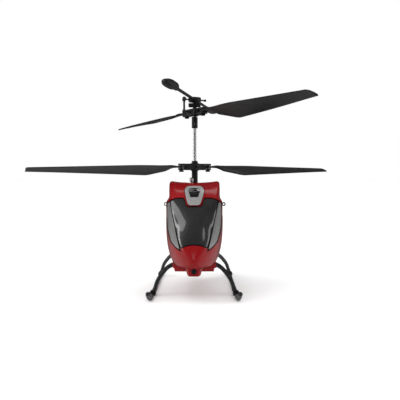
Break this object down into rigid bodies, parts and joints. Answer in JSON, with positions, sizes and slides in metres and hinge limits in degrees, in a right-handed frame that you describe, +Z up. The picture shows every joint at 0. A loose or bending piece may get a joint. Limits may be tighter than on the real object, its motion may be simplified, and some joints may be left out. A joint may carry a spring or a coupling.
{
  "type": "remote control helicopter",
  "caption": "Small coaxial remote control helicopter with contra-rotating blades, a flybar, a nose canopy, a tail boom with a tail rotor, and skid landing gear.",
  "frame": {"origin": "on the ground, in the middle of the overall box", "axes": "+Z up along the mast, -Y towards the nose, +X to the right as seen from the front"},
  "size_m": [0.1686, 0.2256, 0.1085],
  "materials": {
    "red_shell": "glossy red moulded plastic",
    "carbon_panel": "glossy clear coat over a dark woven pattern",
    "smoke_panel": "glossy grey moulded panel",
    "bright_trim": "satin bright plating",
    "dark_lens": "glossy black lens",
    "steel": "drawn steel",
    "motor_can": "drawn steel can",
    "black_rod": "semi-gloss black",
    "black_plastic": "satin black moulded plastic",
    "blade_plastic": "satin black flexible plastic",
    "dark_steel": "blackened steel",
    "gear_nylon": "ivory nylon",
    "brass": "machined brass",
    "frame_metal": "satin black anodised sheet",
    "battery_wrap": "shrink wrap",
    "board": "green solder mask",
    "skid_plastic": "glossy black moulded plastic"
  },
  "bodies": {
    "airframe": {"canopy": "red_shell", "chin_housing": "red_shell", "belly_pan": "red_shell", "tail_fin": "red_shell", "windscreen": "carbon_panel", "side_window_left": "smoke_panel", "side_window_right": "smoke_panel", "intake_bezel": "bright_trim", "nose_lens": "dark_lens", "canopy_pin_left": "steel", "bracket_screw": "steel", "upper_bearing": "steel", "drive_motor_front": "motor_can", "drive_motor_rear": "motor_can", "tail_motor": "motor_can", "canopy_pin_right": "black_rod", "tail_boom": "black_rod", "boom_strut_left": "black_rod", "boom_strut_right": "black_rod", "mast_bracket": "black_plastic", "lower_deck": "black_plastic", "boom_clamp": "black_plastic", "tail_motor_mount": "black_plastic", "charge_socket": "black_plastic", "frame_plate_left": "frame_metal", "frame_plate_right": "frame_metal", "battery": "battery_wrap", "circuit_board": "board", "skid_left": "skid_plastic", "skid_right": "skid_plastic", "strut_front_left": "skid_plastic", "strut_front_right": "skid_plastic", "strut_rear_left": "skid_plastic", "strut_rear_right": "skid_plastic"},
    "lower_rotor": {"outer_shaft": "black_rod", "outer_shaft_gear": "gear_nylon", "lower_rotor_hub": "black_plastic", "lower_blade_bolt_a": "dark_steel", "lower_blade_bolt_b": "dark_steel"},
    "lower_blade_a": {"lower_blade_a": "blade_plastic"},
    "lower_blade_b": {"lower_blade_b": "blade_plastic"},
    "upper_rotor": {"inner_shaft": "steel", "inner_shaft_gear": "gear_nylon", "inner_shaft_collar": "black_rod", "rotor_head": "black_rod"},
    "upper_grip": {"upper_blade_grip": "black_plastic", "upper_blade_bolt_a": "dark_steel", "upper_blade_bolt_b": "dark_steel"},
    "upper_blade_a": {"upper_blade_a": "blade_plastic"},
    "upper_blade_b": {"upper_blade_b": "blade_plastic"},
    "flybar": {"flybar_hub": "black_plastic", "flybar_rod_front": "black_rod", "flybar_rod_rear": "black_rod", "flybar_weight_front": "black_plastic", "flybar_weight_rear": "black_plastic"},
    "link": {"flybar_link": "black_plastic"},
    "front_pinion": {"front_pinion": "brass"},
    "rear_pinion": {"rear_pinion": "brass"},
    "tail_rotor": {"tail_rotor": "blade_plastic"},
    "power_switch": {"power_switch": "black_plastic"}
  },
  "joints": [
    {"name": "lower_rotor_spin", "type": "hinge", "parent": "airframe", "child": "lower_rotor", "pos_m": [0, -0.03065, 0.0686], "axis": [0, 0, 1], "continuous": true},
    {"name": "upper_rotor_spin", "type": "hinge", "parent": "airframe", "child": "upper_rotor", "pos_m": [0, -0.03065, 0.0995], "axis": [0, 0, 1], "continuous": true},
    {"name": "front_pinion_spin", "type": "hinge", "parent": "airframe", "child": "front_pinion", "pos_m": [0, -0.04191, 0.025], "axis": [0, 0, 1], "continuous": true},
    {"name": "rear_pinion_spin", "type": "hinge", "parent": "airframe", "child": "rear_pinion", "pos_m": [0, -0.01939, 0.021], "axis": [0, 0, 1], "continuous": true},
    {"name": "tail_rotor_spin", "type": "hinge", "parent": "airframe", "child": "tail_rotor", "pos_m": [0, 0.10385, 0.0492], "axis": [0, 0, 1], "continuous": true},
    {"name": "lower_blade_a_swing", "type": "hinge", "parent": "lower_rotor", "child": "lower_blade_a", "pos_m": [0.00747, -0.02659, 0.0686], "axis": [0, 0, 1], "range_deg": [-60, 60]},
    {"name": "lower_blade_b_swing", "type": "hinge", "parent": "lower_rotor", "child": "lower_blade_b", "pos_m": [-0.00747, -0.03471, 0.0686], "axis": [0, 0, 1], "range_deg": [-60, 60]},
    {"name": "flybar_seesaw", "type": "hinge", "parent": "upper_rotor", "child": "flybar", "pos_m": [0, -0.03065, 0.1065], "axis": [0.9833, -0.1822, 0], "range_deg": [-12, 12]},
    {"name": "blade_grip_feather", "type": "hinge", "parent": "upper_rotor", "child": "upper_grip", "pos_m": [0, -0.03065, 0.0995], "axis": [0.5416, -0.8404, 0.0209], "range_deg": [-8, 8]},
    {"name": "flybar_link_slide", "type": "slide", "parent": "upper_rotor", "child": "link", "axis": [0, 0, 1], "range_m": [-0.0015, 0.0015]},
    {"name": "upper_blade_a_swing", "type": "hinge", "parent": "upper_grip", "child": "upper_blade_a", "pos_m": [0.0046, -0.03779, 0.09968], "axis": [-0.0113, 0.0176, 0.9998], "range_deg": [-60, 60]},
    {"name": "upper_blade_b_swing", "type": "hinge", "parent": "upper_grip", "child": "upper_blade_b", "pos_m": [-0.0046, -0.02351, 0.09932], "axis": [-0.0113, 0.0176, 0.9998], "range_deg": [-60, 60]},
    {"name": "power_switch_slide", "type": "slide", "parent": "airframe", "child": "power_switch", "axis": [0, 1, 0], "range_m": [0, 0.003]}
  ],
  "couplings": [
    {"joint": "front_pinion_spin", "follows": "lower_rotor_spin", "ratio": -4.6},
    {"joint": "rear_pinion_spin", "follows": "upper_rotor_spin", "ratio": -4.6},
    {"joint": "flybar_seesaw", "follows": "blade_grip_feather", "ratio": 1.4581},
    {"joint": "flybar_link_slide", "follows": "blade_grip_feather", "m_per_rad": -0.007}
  ]
}
